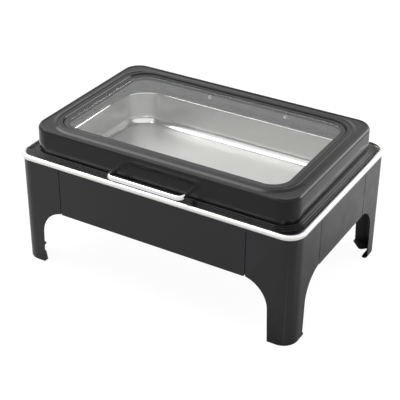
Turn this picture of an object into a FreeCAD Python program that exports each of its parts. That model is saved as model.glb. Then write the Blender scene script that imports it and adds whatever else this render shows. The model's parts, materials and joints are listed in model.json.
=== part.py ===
import FreeCAD, Part
import math
import os

from FreeCAD import Vector

# Chafing dish: a black steel stand of four legs and four panels, a water pan with a rolled rim,
# a food pan, and a black lid with a glass window that swings up on two hinges behind the rim.
# Millimetres. X runs along the long side, -Y is the front with the handle, +Z is up.
# The origin is on the floor under the middle of the whole dish, handle and hinges included.

# Water pan rim, which gives the dish its length and width
rim_length = 560.0
rim_width = 378.0
rim_bead = 9.5
rim_slit_degrees = 42.0
pan_sheet = 0.8

# Stand
rim_overhang = 4.5
stand_corner_radius = 28.0
stand_height = 208.0
stand_sheet = 1.5
stand_top_flange = 9.0
panel_bottom = 115.0
panel_hem = 8.0
panel_hem_end = 7.0
panel_corner_radius = 3.0
seam_gap = 1.4
leg_face_front = 88.8
leg_face_side = 92.8
foot_face_front = 44.0
foot_face_side = 44.5
foot_lean = 4.5
arch_radius = 53.5
arch_above_panel = 2.0
sole_width = 9.5
toe_reach = 8.0
tongue_reach = 22.5
tongue_radius = 6.0

# Joint between a panel and its legs
joiner_lap = 20.0
joiner_root = 8.0
joiner_above_panel = 3.0
joiner_below_top = 8.0
stud_length = 8.0

# Metric fasteners of 5 mm
thread_radius = 2.5
thread_clearance = 0.05
hole_clearance = 0.25
nut_across_flats = 8.0
nut_height = 4.0
cap_nut_dome_radius = 3.7
cap_nut_top_radius = 2.2
cap_nut_dome_height = 3.2
cap_nut_bore_extra = 1.5
bolt_head_height = 3.5

# Water pan below its rim
ledge_side = 32.8
ledge_front = 34.8
collar_corner_radius = 22.7
collar_height = 9.2
collar_top_width = 2.4
collar_edge_radius = 0.8
water_pan_depth = 96.0
water_pan_taper = 6.5
water_pan_floor_radius = 10.0

# Food pan
food_rim_overhang = 1.3
food_rim_corner_radius = 24.0
food_rim_lip = 3.0
food_rim_edge_radius = 0.8
food_wall_clearance = 1.4
food_opening_corner_radius = 58.0
food_mouth_radius = 2.2
food_pan_depth = 65.0
food_pan_taper = 5.0
food_pan_floor_radius = 18.0

# Lid
lid_sheet = 1.0
lid_gap = 0.3
lid_rim_gap = 1.3
lid_edge_corner_radius = 22.0
lid_edge_rounding = 1.0
lid_flange_rise = 3.7
lid_step_height = 2.0
lid_step_width = 4.3
lid_step_slope = 0.3
lid_step_rounding = 1.0
dome_clearance = 10.8
dome_corner_radius = 34.0
dome_height = 47.5
dome_draft = 0.6
dome_edge_radius = 10.0
dome_foot_radius = 1.5

# Window in the lid
window_border_side = 36.0
window_border_front = 31.4
window_corner_radius = 68.0
seat_drop = 2.8
seat_width = 5.0
ridge_rise = 1.4
ridge_width = 6.0
ridge_slope = 3.0
ridge_rounding = 1.0
glass_thickness = 3.5
glass_edge_gap = 2.5
gasket_lip = 1.15
gasket_inner_reach = 8.0
gasket_outer_reach = 4.0
gasket_slope = 0.7
gasket_clearance = 0.1

# Handle on the lid's front wall
handle_span = 151.0
handle_standoff = 37.0
handle_thickness = 6.5
handle_height = 8.5
handle_bend_radius = 12.0
handle_edge = 1.2
handle_above_flange = 17.4
handle_thread_depth = 10.0
handle_bolt_length = 10.0
fixing_gap = 0.1

# Hinges on the lid's rear wall
hinge_spacing = 162.0
hinge_setback = 18.5
hinge_rise = 2.5
hinge_pin_radius = 2.95
hinge_pin_clearance = 0.05
hinge_strap = 2.5
hinge_bend_radius = 2.0
hinge_arm_width = 16.0
hinge_leaf_height = 20.0
hinge_leaf_rounding = 4.0
hinge_bolt_above_strap = 7.5
hinge_bolt_length = 9.0
hinge_eye_slit = 0.6
hinge_side_gap = 0.3
pin_head_radius = 4.6
pin_head_height = 1.6

# Hinge brackets on the rear panel
bracket_width = 34.0
bracket_height = 52.0
bracket_below_top = 10.0
bracket_rounding = 5.0
bracket_bolt_margin = 10.0
bracket_bolt_length = 10.0
ear_thickness = 2.5
ear_boss_radius = 7.0
ear_foot_margin = 14.0
ear_rim_gap = 1.5
ear_depth = 6.5
lid_open_degrees = 100.0
stop_gap = 0.4
stop_thickness = 2.4
stop_low = 4.0
stop_high = 12.0

# Bends in sheet are made of short flats, so that they stay light where they run round a corner
wide_bend_step = 30.0
small_bend_step = 90.0
small_bend_radius = 3.0
rim_flats = 8

# Shared by the cutters and profiles below
cut_margin = 1.0
flat_lap = 2.0
same_place = 1e-6

# Places worked out from the sizes above
rim_half_x = rim_length / 2
rim_half_y = rim_width / 2
stand_half_x = rim_half_x - rim_overhang
stand_half_y = rim_half_y - rim_overhang
foot_inner_x = stand_half_x - foot_face_front
foot_inner_y = stand_half_y - foot_face_side
leg_inner_x = stand_half_x - leg_face_front
leg_inner_y = stand_half_y - leg_face_side
arch_top = panel_bottom + arch_above_panel
joiner_bottom = panel_bottom + joiner_above_panel
joiner_top = stand_height - joiner_below_top
stud_level = (joiner_bottom + joiner_top) / 2
stud_x = leg_inner_x + joiner_lap / 2
stud_y = leg_inner_y + joiner_lap / 2
rim_top = stand_height + rim_bead
ledge_top = stand_height + pan_sheet
collar_half_x = rim_half_x - ledge_side
collar_half_y = rim_half_y - ledge_front
collar_top = stand_height + collar_height
food_rim_top = collar_top + pan_sheet
food_rim_half_x = collar_half_x + food_rim_overhang
food_rim_half_y = collar_half_y + food_rim_overhang
food_open_half_x = collar_half_x - collar_top_width - food_wall_clearance
food_open_half_y = collar_half_y - collar_top_width - food_wall_clearance
lid_edge_half_x = rim_half_x - rim_bead - lid_rim_gap
lid_edge_half_y = rim_half_y - rim_bead - lid_rim_gap
lid_lip_bottom = ledge_top + lid_gap
lid_flange_top = lid_lip_bottom + lid_flange_rise
dome_base = lid_flange_top + 2 * lid_step_height
dome_half_x = collar_half_x + dome_clearance
dome_half_y = collar_half_y + dome_clearance
lid_top = dome_base + dome_height
seat_top = lid_top - seat_drop
window_half_x = dome_half_x - window_border_side
window_half_y = dome_half_y - window_border_front
glass_low = seat_top - lid_sheet / 2 - glass_thickness / 2
glass_high = glass_low + glass_thickness
handle_level = dome_base + handle_above_flange
handle_bolt_x = (handle_span - handle_thickness) / 2
hinge_y = rim_half_y + hinge_setback
hinge_z = rim_top + hinge_rise
eye_inner = hinge_pin_radius + hinge_pin_clearance
eye_outer = eye_inner + hinge_strap
strap_top = hinge_z + eye_outer
hinge_bolt_level = strap_top + hinge_bolt_above_strap
bracket_top = stand_height - bracket_below_top
bracket_bottom = bracket_top - bracket_height
bracket_bolt_levels = (bracket_bottom + bracket_bolt_margin, bracket_top - bracket_bolt_margin)
hinge_places = (("left", -hinge_spacing / 2), ("right", hinge_spacing / 2))
open_angle = math.radians(lid_open_degrees)
stop_y = hinge_y + (eye_outer + stop_gap - math.cos(open_angle) * stop_high) / math.sin(open_angle)
stop_back = stop_y + stop_thickness
handle_front = dome_half_y + handle_standoff
middle_y = (stop_back - handle_front) / 2


def save(shape, node):
    """Write one node's solids to its own file, with the dish's middle on the origin."""
    placed = shape.copy()
    placed.translate(Vector(0, -middle_y, 0))
    placed.exportStep(os.path.join("parts", node + ".step"))


def box(low, high):
    """A box between two corners."""
    size = [b - a for a, b in zip(low, high)]
    return Part.makeBox(size[0], size[1], size[2], Vector(*low))


def union(shapes):
    """Fuse solids and merge the faces that they share."""
    return shapes[0].multiFuse(shapes[1:]).removeSplitter()


def rounded_rectangle(half_x, half_y, radius, z):
    """A level face with rounded corners about the Z axis."""
    corners = [(1, -1, -90), (1, 1, 0), (-1, 1, 90), (-1, -1, 180)]
    arcs = []
    for sign_x, sign_y, start in corners:
        centre = Vector(sign_x * (half_x - radius), sign_y * (half_y - radius), z)
        circle = Part.Circle(centre, Vector(0, 0, 1), radius)
        arcs.append(Part.Arc(circle, math.radians(start), math.radians(start + 90)).toShape())
    edges = []
    for arc, following in zip(arcs, arcs[1:] + arcs[:1]):
        edges.append(arc)
        edges.append(Part.LineSegment(arc.Vertexes[-1].Point, following.Vertexes[0].Point).toShape())
    return Part.Face(Part.Wire(edges))


def slab(half_x, half_y, radius, z_low, z_high, grow=0.0):
    """A level plate with rounded corners, grown or shrunk evenly all round."""
    face = rounded_rectangle(half_x + grow, half_y + grow, radius + grow, z_low)
    return face.extrude(Vector(0, 0, z_high - z_low))


def bend(start, end, centre, middle, in_flats):
    """The edges of one rounded corner: an arc, or short flats with their ends on the arc."""
    if not in_flats:
        return [Part.Arc(start, middle, end).toShape()]
    radius = start.distanceToPoint(centre)
    step = wide_bend_step if radius > small_bend_radius else small_bend_step
    turn = math.degrees((start - centre).getAngle(end - centre))
    count = math.ceil(turn / step - same_place)
    axis = (start - centre).cross(end - centre)
    points = [centre + FreeCAD.Rotation(axis, turn * index / count).multVec(start - centre) for index in range(count)]
    points.append(end)
    return [Part.LineSegment(a, b).toShape() for a, b in zip(points, points[1:])]


def rounded_chain(points, in_flats=False):
    """Closed edges through points (u, z, radius) in the XZ plane, with the corners rounded."""
    count = len(points)
    places = [Vector(u, 0, z) for u, z, radius in points]
    ends = []
    edges = []
    for index, (u, z, radius) in enumerate(points):
        if radius <= 0:
            ends.append((places[index], places[index]))
            continue
        back = (places[index - 1] - places[index]).normalize()
        forward = (places[(index + 1) % count] - places[index]).normalize()
        half_angle = back.getAngle(forward) / 2
        trim = radius / math.tan(half_angle)
        start = places[index] + back * trim
        end = places[index] + forward * trim
        bisector = (back + forward).normalize()
        centre = places[index] + bisector * (radius / math.sin(half_angle))
        edges += bend(start, end, centre, centre - bisector * radius, in_flats)
        ends.append((start, end))
    for index in range(count):
        start = ends[index][1]
        end = ends[(index + 1) % count][0]
        if start.distanceToPoint(end) > same_place:
            edges.append(Part.LineSegment(start, end).toShape())
    return Part.Wire(Part.__sortEdges__(edges))


def sheet_profile(points, thickness):
    """A face of even thickness on the right of the way through points (u, z, radius)."""
    count = len(points)
    places = [Vector(u, 0, z) for u, z, radius in points]
    ways = [(b - a).normalize() for a, b in zip(places, places[1:])]
    sides = [Vector(way.z, 0, -way.x) for way in ways]
    far = [(places[0] + sides[0] * thickness, 0)]
    for index in range(1, count - 1):
        before, after = sides[index - 1], sides[index]
        spread = (before + after) * (thickness / (1 + before.dot(after)))
        turn = ways[index - 1].x * ways[index].z - ways[index - 1].z * ways[index].x
        radius = points[index][2]
        far_radius = radius + thickness if turn > 0 else radius - thickness
        far.append((places[index] + spread, far_radius if radius > 0 else 0))
    far.append((places[-1] + sides[-1] * thickness, 0))
    outline = list(points) + [(place.x, place.z, radius) for place, radius in reversed(far)]
    return Part.Face(rounded_chain(outline, in_flats=True))


def ring(profile, half_x, half_y, radius):
    """Carry a face drawn in the XZ plane round a rounded rectangle. Its U is 0 on the rectangle."""
    solids = []
    for turn in range(4):
        reach, across = (half_x, half_y) if turn % 2 == 0 else (half_y, half_x)
        side = profile.copy()
        side.translate(Vector(reach, -(across - radius), 0))
        side = side.extrude(Vector(0, 2 * (across - radius), 0))
        corner = profile.copy()
        corner.translate(Vector(reach, across - radius, 0))
        corner = corner.revolve(Vector(reach - radius, across - radius, 0), Vector(0, 0, 1), 90)
        for solid in (side, corner):
            solid.rotate(Vector(0, 0, 0), Vector(0, 0, 1), 90 * turn)
            solids.append(solid)
    return union(solids)


def edges_along(shape, way, test):
    """The straight edges along a unit way whose middle passes a test."""
    found = []
    for edge in shape.Edges:
        if abs(edge.tangentAt(edge.FirstParameter).dot(way)) > 1 - same_place and test(edge.CenterOfMass):
            found.append(edge)
    return found


def turned(shape, degrees):
    """A copy turned about the Z axis."""
    result = shape.copy()
    result.rotate(Vector(0, 0, 0), Vector(0, 0, 1), degrees)
    return result


def moved_along_x(shape, distance):
    """A copy moved along the X axis."""
    result = shape.copy()
    result.translate(Vector(distance, 0, 0))
    return result


def rod(radius, start, way, length):
    """A round rod."""
    return Part.makeCylinder(radius, length, Vector(*start), Vector(*way))


def fixing_hole(start, way, length):
    """The clearance hole of a fastener."""
    return rod(thread_radius + hole_clearance, start, way, length)


def hexagon(place, way, height):
    """A hexagonal prism that stands on place."""
    radius = nut_across_flats / math.sqrt(3)
    corners = []
    for index in range(7):
        angle = math.radians(60 * index)
        corners.append(Vector(radius * math.cos(angle), radius * math.sin(angle), 0))
    prism = Part.Face(Part.makePolygon(corners)).extrude(Vector(0, 0, height))
    prism.Placement = FreeCAD.Placement(Vector(*place), FreeCAD.Rotation(Vector(0, 0, 1), Vector(*way)))
    return prism


def nut(place, way):
    """A plain nut that stands on place."""
    bore = rod(thread_radius + thread_clearance, place, way, nut_height)
    return hexagon(place, way, nut_height).cut(bore)


def cap_nut(place, way):
    """A crowned nut that stands on place, with a blind bore."""
    top = Vector(*place) + Vector(*way) * nut_height
    crown = Part.makeCone(cap_nut_dome_radius, cap_nut_top_radius, cap_nut_dome_height, top, Vector(*way))
    bore = rod(thread_radius + thread_clearance, place, way, nut_height + cap_nut_bore_extra)
    return union([hexagon(place, way, nut_height), crown]).cut(bore)


def bolt(place, way, length):
    """A bolt whose hexagonal head stands on place and whose shank runs along way."""
    out = tuple(Vector(*way) * -1)
    return union([hexagon(place, out, bolt_head_height), rod(thread_radius, place, way, length)])


def stand_skirt():
    """The whole folded wall of the stand with its inward top flange."""
    outer = slab(stand_half_x, stand_half_y, stand_corner_radius, 0, stand_height)
    below = stand_height - stand_sheet
    inner = slab(stand_half_x, stand_half_y, stand_corner_radius, 0, below, -stand_sheet)
    mouth = slab(stand_half_x, stand_half_y, stand_corner_radius, 0, stand_height, -stand_top_flange)
    return outer.cut(inner).cut(mouth)


def arch_cutter(foot_inner, wall):
    """The arch beside a foot with the foot's leaning edge, cut through the front wall only."""
    corner = foot_inner - foot_lean
    far_end = corner - arch_radius - cut_margin
    outline = [
        (foot_inner, -cut_margin, 0),
        (corner, arch_top, arch_radius),
        (far_end, arch_top, 0),
        (far_end, -cut_margin, 0),
    ]
    face = Part.Face(rounded_chain(outline))
    face.translate(Vector(0, -wall - cut_margin, 0))
    return face.extrude(Vector(0, 2 * cut_margin + stand_sheet, 0))


def sole():
    """The front right foot's inward flange on the floor, with a toe, a tongue and a gusset."""
    outer = slab(stand_half_x, stand_half_y, stand_corner_radius, 0, stand_sheet)
    inner = slab(stand_half_x, stand_half_y, stand_corner_radius, 0, stand_sheet, -sole_width)
    corner = box((foot_inner_x, -stand_half_y, 0), (stand_half_x, -foot_inner_y, stand_sheet))
    pieces = [outer.cut(inner).common(corner)]
    # Toe that runs on past the foot's side edge and ends in a half round
    round_end = sole_width / 2
    toe_y = -foot_inner_y + toe_reach - round_end
    row_x = stand_half_x - round_end
    pieces.append(box((row_x - round_end, -foot_inner_y - cut_margin, 0), (row_x + round_end, toe_y, stand_sheet)))
    pieces.append(rod(round_end, (row_x, toe_y, 0), (0, 0, 1), stand_sheet))
    # Tongue along the diagonal, from the middle of the flange's bend
    tip = Vector(stand_half_x - tongue_reach, -stand_half_y + tongue_reach, 0)
    root = stand_corner_radius - (stand_corner_radius - round_end) * math.sqrt(0.5)
    neck_length = (tongue_reach - root) * math.sqrt(2)
    neck = Part.makeBox(neck_length, 2 * tongue_radius, stand_sheet, Vector(0, -tongue_radius, 0))
    neck.rotate(Vector(0, 0, 0), Vector(0, 0, 1), -45)
    neck.translate(tip)
    pieces.append(neck)
    pieces.append(rod(tongue_radius, tuple(tip), (0, 0, 1), stand_sheet))
    # Gusset that fills the corner between the tongue's end and the front flange
    reach = tongue_radius * math.sqrt(0.5)
    flange_edge = -stand_half_y + sole_width
    outline = [
        (foot_inner_x, flange_edge - cut_margin),
        (foot_inner_x, flange_edge),
        (tip.x - reach, tip.y + reach),
        tuple(tip)[:2],
        (tip.x, flange_edge - cut_margin),
    ]
    corners = [Vector(x, y, 0) for x, y in outline]
    gusset = Part.Face(Part.makePolygon(corners + corners[:1]))
    pieces.append(gusset.extrude(Vector(0, 0, stand_sheet)))
    return union(pieces)


def leg():
    """The front right leg with its two arches, its sole and its weld studs."""
    region = box((leg_inner_x, -stand_half_y, 0), (stand_half_x, -leg_inner_y, stand_height))
    plate = stand_skirt().common(region)
    plate = plate.cut(arch_cutter(foot_inner_x, stand_half_y))
    side_arch = arch_cutter(foot_inner_y, stand_half_x).mirror(Vector(0, 0, 0), Vector(1, 0, 0))
    plate = plate.cut(turned(side_arch, 90))
    front_stud = rod(thread_radius, (stud_x, -stand_half_y + stand_sheet, stud_level), (0, 1, 0), stud_length)
    side_stud = rod(thread_radius, (stand_half_x - stand_sheet, -stud_y, stud_level), (-1, 0, 0), stud_length)
    return union([plate, sole(), front_stud, side_stud])


def panel(seam, wall):
    """A front panel whose outer face is at y = -wall, with joiner strips behind its ends."""
    half = seam - seam_gap
    inside = -wall + stand_sheet
    face = box((-half, -wall, panel_bottom), (half, inside, stand_height))
    lower = edges_along(face, Vector(0, 1, 0), lambda middle: abs(middle.z - panel_bottom) < same_place)
    face = face.makeFillet(panel_corner_radius, lower)
    top = box((-half, -wall, stand_height - stand_sheet), (half, -wall + stand_top_flange, stand_height))
    hem_half = half - panel_hem_end
    hem = box((-hem_half, -wall, panel_bottom), (hem_half, -wall + panel_hem, panel_bottom + stand_sheet))
    joiner = box((half - joiner_root, inside, joiner_bottom), (seam + joiner_lap, inside + stand_sheet, joiner_top))
    joiner = joiner.cut(fixing_hole((seam + joiner_lap / 2, inside, stud_level), (0, 1, 0), stand_sheet))
    return union([face, top, hem, joiner, joiner.mirror(Vector(0, 0, 0), Vector(1, 0, 0))])


def panel_nuts():
    """One nut on every weld stud, standing on the joiner strip."""
    pieces = []
    depth = 2 * stand_sheet
    for sign_x in (-1, 1):
        for sign_y in (-1, 1):
            front = (sign_x * stud_x, sign_y * (stand_half_y - depth), stud_level)
            side = (sign_x * (stand_half_x - depth), sign_y * stud_y, stud_level)
            pieces.append(nut(front, (0, -sign_y, 0)))
            pieces.append(nut(side, (-sign_x, 0, 0)))
    return pieces


def water_pan():
    """The deep pan with its rolled rim, the ledge for the lid and the collar for the food pan."""
    outer_radius = rim_bead / 2
    inner_radius = outer_radius - pan_sheet
    level = stand_height + outer_radius
    bend_radius = stand_corner_radius + rim_overhang - outer_radius

    # The bead starts where the ledge ends and curls round until the slit
    def on_circle(radius, share):
        angle = math.radians(-90 + (360 - rim_slit_degrees) * share)
        return Vector(radius * math.cos(angle), 0, level + radius * math.sin(angle))

    shares = [index / rim_flats for index in range(rim_flats + 1)]
    curl = [on_circle(outer_radius, share) for share in shares]
    curl += [on_circle(inner_radius, share) for share in reversed(shares)]
    bead_face = Part.Face(Part.makePolygon(curl + curl[:1]))
    bead_half_x = rim_half_x - outer_radius
    bead_half_y = rim_half_y - outer_radius
    bead = ring(bead_face, bead_half_x, bead_half_y, bend_radius)
    ledge = slab(bead_half_x, bead_half_y, bend_radius, stand_height, ledge_top)
    hole = slab(collar_half_x, collar_half_y, collar_corner_radius, stand_height, ledge_top, -pan_sheet)
    # Floor corner, wall and collar as one profile round the pan, with U at 0 on the collar
    floor_top = ledge_top - water_pan_depth
    wall_foot = -collar_top_width - water_pan_taper
    floor_edge = wall_foot - water_pan_floor_radius - flat_lap
    profile = sheet_profile(
        [
            (floor_edge, floor_top, 0),
            (wall_foot, floor_top, water_pan_floor_radius),
            (-collar_top_width, collar_top, collar_edge_radius),
            (0, collar_top, collar_edge_radius),
            (0, stand_height, 0),
        ],
        pan_sheet,
    )
    walls = ring(profile, collar_half_x, collar_half_y, collar_corner_radius)
    floor = slab(
        collar_half_x, collar_half_y, collar_corner_radius, floor_top - pan_sheet, floor_top, floor_edge
    )
    return union([bead, ledge.cut(hole), walls, floor])


def food_pan():
    """The pan for the food, whose flat rim hangs on the water pan's collar."""
    open_radius = food_opening_corner_radius
    floor_top = food_rim_top - food_pan_depth
    wall_foot = -food_pan_taper
    floor_edge = wall_foot - food_pan_floor_radius - flat_lap
    mouth_end = food_mouth_radius + flat_lap
    wall = sheet_profile(
        [
            (floor_edge, floor_top, 0),
            (wall_foot, floor_top, food_pan_floor_radius),
            (0, food_rim_top, food_mouth_radius),
            (mouth_end, food_rim_top, 0),
        ],
        pan_sheet,
    )
    walls = ring(wall, food_open_half_x, food_open_half_y, open_radius)
    floor = slab(food_open_half_x, food_open_half_y, open_radius, floor_top - pan_sheet, floor_top, floor_edge)
    rim = slab(
        food_rim_half_x, food_rim_half_y, food_rim_corner_radius, collar_top, food_rim_top, -flat_lap
    )
    mouth = slab(food_open_half_x, food_open_half_y, open_radius, collar_top, food_rim_top, mouth_end)
    lip = sheet_profile(
        [
            (-flat_lap, food_rim_top, 0),
            (0, food_rim_top, food_rim_edge_radius),
            (0, food_rim_top - food_rim_lip, 0),
        ],
        pan_sheet,
    )
    lips = ring(lip, food_rim_half_x, food_rim_half_y, food_rim_corner_radius)
    return union([walls, floor, rim.cut(mouth), lips])


def dome_wall(z):
    """How far in the lid's outer wall leans at a height, as a negative distance."""
    return -dome_draft * (z - dome_base) / dome_height


def wall_y(z):
    """How far the lid's outer wall stands from the middle at a height."""
    return dome_half_y + dome_wall(z)


def lid_shell():
    """The pressed lid: edge lip, stepped flange, dome and the ridge round the window."""
    top_edge = dome_wall(lid_top)
    plate_edge = top_edge - dome_edge_radius
    step_ends = (lid_step_width, 2 * lid_step_width)
    flange_start = step_ends[1] + lid_step_slope + flat_lap
    dome_profile = sheet_profile(
        [
            (plate_edge - flat_lap, lid_top, 0),
            (top_edge, lid_top, dome_edge_radius),
            (0, dome_base, dome_foot_radius),
            (step_ends[0], dome_base, lid_step_rounding),
            (step_ends[0] + lid_step_slope, dome_base - lid_step_height, 0),
            (step_ends[1], dome_base - lid_step_height, lid_step_rounding),
            (step_ends[1] + lid_step_slope, lid_flange_top, 0),
            (flange_start, lid_flange_top, 0),
        ],
        lid_sheet,
    )
    dome = ring(dome_profile, dome_half_x, dome_half_y, dome_corner_radius)
    # Flat flange between the steps and the turned-down lip
    flange_low = lid_flange_top - lid_sheet
    edge_lap = lid_edge_rounding + flat_lap
    flange = slab(
        lid_edge_half_x, lid_edge_half_y, lid_edge_corner_radius, flange_low, lid_flange_top, -edge_lap
    )
    steps = slab(dome_half_x, dome_half_y, dome_corner_radius, flange_low, lid_flange_top, flange_start - flat_lap)
    lip_profile = sheet_profile(
        [(-edge_lap - flat_lap, lid_flange_top, 0), (0, lid_flange_top, lid_edge_rounding), (0, lid_lip_bottom, 0)],
        lid_sheet,
    )
    lip = ring(lip_profile, lid_edge_half_x, lid_edge_half_y, lid_edge_corner_radius)
    # Window surround, with U at 0 on the edge of the opening
    ridge_start = seat_width + ridge_slope
    ridge_end = ridge_start + ridge_width
    surround_end = ridge_end + ridge_slope
    surround_profile = sheet_profile(
        [
            (0, seat_top, 0),
            (seat_width, seat_top, 0),
            (ridge_start, lid_top + ridge_rise, ridge_rounding),
            (ridge_end, lid_top + ridge_rise, ridge_rounding),
            (surround_end, lid_top, 0),
            (surround_end + flat_lap, lid_top, 0),
        ],
        lid_sheet,
    )
    surround = ring(surround_profile, window_half_x, window_half_y, window_corner_radius)
    plate_low = lid_top - lid_sheet
    plate = slab(dome_half_x, dome_half_y, dome_corner_radius, plate_low, lid_top, plate_edge)
    opening = slab(window_half_x, window_half_y, window_corner_radius, plate_low, lid_top, surround_end)
    body = union([dome, flange.cut(steps), lip, surround, plate.cut(opening)])
    for side in (-1, 1):
        handle_hole = (side * handle_bolt_x, -dome_half_y - cut_margin, handle_level)
        hinge_hole = (side * hinge_spacing / 2, dome_half_y + cut_margin, hinge_bolt_level)
        depth = 2 * cut_margin + lid_sheet + dome_draft
        body = body.cut(fixing_hole(handle_hole, (0, 1, 0), depth))
        body = body.cut(fixing_hole(hinge_hole, (0, -1, 0), depth))
    return body


def window_glass():
    """The flat pane with rounded corners."""
    return slab(window_half_x, window_half_y, window_corner_radius, glass_low, glass_high, -glass_edge_gap)


def window_gasket():
    """The rubber strip that grips the pane inside and the lid's edge outside."""
    glass_side = -glass_edge_gap + gasket_clearance
    lid_side = -gasket_clearance
    pane_low = glass_low - gasket_clearance
    pane_high = glass_high + gasket_clearance
    sheet_low = seat_top - lid_sheet - gasket_clearance
    sheet_high = seat_top + gasket_clearance
    outline = [
        (-gasket_inner_reach, pane_high, 0),
        (-gasket_inner_reach + gasket_slope, pane_high + gasket_lip, 0),
        (gasket_outer_reach - gasket_slope, sheet_high + gasket_lip, 0),
        (gasket_outer_reach, sheet_high, 0),
        (lid_side, sheet_high, 0),
        (lid_side, sheet_low, 0),
        (gasket_outer_reach, sheet_low, 0),
        (gasket_outer_reach - gasket_slope, sheet_low - gasket_lip, 0),
        (-gasket_inner_reach + gasket_slope, pane_low - gasket_lip, 0),
        (-gasket_inner_reach, pane_low, 0),
        (glass_side, pane_low, 0),
        (glass_side, pane_high, 0),
    ]
    return ring(Part.Face(rounded_chain(outline)), window_half_x, window_half_y, window_corner_radius)


def lid_handle():
    """The bar handle bent to a U, with a threaded bore in each end."""
    half = handle_span / 2
    inner_half = half - handle_thickness
    inner_radius = handle_bend_radius - handle_thickness
    low = handle_level - handle_height / 2
    end = wall_y(low) + fixing_gap
    inner_front = handle_front - handle_thickness
    outline = [
        (-half, end, 0),
        (-half, handle_front, handle_bend_radius),
        (half, handle_front, handle_bend_radius),
        (half, end, 0),
        (inner_half, end, 0),
        (inner_half, inner_front, inner_radius),
        (-inner_half, inner_front, inner_radius),
        (-inner_half, end, 0),
    ]
    bar = Part.Face(rounded_chain(outline)).extrude(Vector(0, handle_height, 0))
    # Laid down so that the drawing's Z becomes -Y, and lifted to its level
    bar.rotate(Vector(0, 0, 0), Vector(1, 0, 0), 90)
    bar.translate(Vector(0, 0, low))
    long_edges = []
    for edge in bar.Edges:
        middle = edge.CenterOfMass
        upright = abs(middle.z - handle_level) < same_place
        if not upright and abs(middle.y + end) > same_place:
            long_edges.append(edge)
    bar = bar.makeChamfer(handle_edge, long_edges)
    for side in (-1, 1):
        start = (side * handle_bolt_x, -end, handle_level)
        bar = bar.cut(rod(thread_radius + thread_clearance, start, (0, -1, 0), handle_thread_depth))
    return bar


def hinge_arm():
    """A lid strap: a leaf on the rear wall, a reach over the rim and a rolled eye."""
    half = hinge_arm_width / 2
    leaf_back = dome_half_y + fixing_gap + hinge_strap
    profile = sheet_profile(
        [
            (leaf_back, strap_top + hinge_leaf_height, 0),
            (leaf_back, strap_top, hinge_bend_radius),
            (hinge_y, strap_top, 0),
        ],
        hinge_strap,
    )
    strap = turned(profile.extrude(Vector(0, hinge_arm_width, 0)), 90)
    strap = moved_along_x(strap, half)
    upper = edges_along(
        strap, Vector(0, 1, 0), lambda middle: abs(middle.z - strap_top - hinge_leaf_height) < same_place
    )
    strap = strap.makeFillet(hinge_leaf_rounding, upper)
    eye = rod(eye_outer, (-half, hinge_y, hinge_z), (1, 0, 0), hinge_arm_width)
    bore = rod(eye_inner, (-half, hinge_y, hinge_z), (1, 0, 0), hinge_arm_width)
    # The strap rolls down round the pin and stops just short of its own underside
    strap_low = strap_top - hinge_strap
    slit = box((-half, hinge_y - eye_outer, strap_low - hinge_eye_slit), (half, hinge_y, strap_low))
    hole = fixing_hole((0, leaf_back, hinge_bolt_level), (0, -1, 0), hinge_strap)
    return union([strap, eye.cut(slit)]).cut(bore).cut(hole)


def hinge_bracket():
    """A bracket on the rear panel: a plate, two ears and the stop that the open lid's strap meets."""
    half = bracket_width / 2
    back = stand_half_y + hinge_strap
    plate = box((-half, stand_half_y, bracket_bottom), (half, back, bracket_top))
    plate = plate.makeFillet(bracket_rounding, edges_along(plate, Vector(0, 1, 0), lambda middle: True))
    for level in bracket_bolt_levels:
        plate = plate.cut(fixing_hole((0, back, level), (0, -1, 0), hinge_strap))
    ear_inner = hinge_arm_width / 2 + hinge_side_gap
    ear_y = rim_half_y + ear_rim_gap
    outline = [
        (stand_half_y, bracket_bottom + ear_foot_margin),
        (stand_half_y, bracket_top),
        (ear_y, stand_height),
        (ear_y, hinge_z),
        (stop_y, hinge_z + stop_high),
        (stop_back, hinge_z + stop_high),
        (stop_back, hinge_z),
        (stand_half_y + ear_depth, bracket_bottom + ear_foot_margin),
    ]
    corners = [Vector(ear_inner, y, z) for y, z in outline]
    ear = Part.Face(Part.makePolygon(corners + corners[:1])).extrude(Vector(ear_thickness, 0, 0))
    boss = rod(ear_boss_radius, (ear_inner, hinge_y, hinge_z), (1, 0, 0), ear_thickness)
    ear = union([ear, boss]).cut(rod(eye_inner, (ear_inner, hinge_y, hinge_z), (1, 0, 0), ear_thickness))
    other = ear.mirror(Vector(0, 0, 0), Vector(1, 0, 0))
    reach = ear_inner + ear_thickness / 2
    stop = box((-reach, stop_y, hinge_z + stop_low), (reach, stop_back, hinge_z + stop_high))
    return union([plate, ear, other, stop])


def hinge_pin():
    """The pin with a flat head on both sides of its bracket."""
    reach = hinge_arm_width / 2 + hinge_side_gap + ear_thickness + fixing_gap
    pieces = [rod(hinge_pin_radius, (-reach, hinge_y, hinge_z), (1, 0, 0), 2 * reach)]
    for side in (-1, 1):
        pieces.append(rod(pin_head_radius, (side * reach, hinge_y, hinge_z), (side, 0, 0), pin_head_height))
    return union(pieces)


os.makedirs("parts", exist_ok=True)

# Stand
across = Vector(1, 0, 0)
along = Vector(0, 1, 0)
centre = Vector(0, 0, 0)
front_right = leg()
rear_right = front_right.mirror(centre, along)
save(front_right, "leg_front_right")
save(rear_right, "leg_rear_right")
save(front_right.mirror(centre, across), "leg_front_left")
save(rear_right.mirror(centre, across), "leg_rear_left")

long_panel = panel(leg_inner_x, stand_half_y)
short_panel = panel(leg_inner_y, stand_half_x)
save(long_panel, "panel_front")
save(turned(short_panel, 90), "panel_right")
save(turned(short_panel, -90), "panel_left")
rear_panel = turned(long_panel, 180)
for name, x in hinge_places:
    for level in bracket_bolt_levels:
        rear_panel = rear_panel.cut(fixing_hole((x, stand_half_y, level), (0, -1, 0), stand_sheet))
save(rear_panel, "panel_rear")

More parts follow.
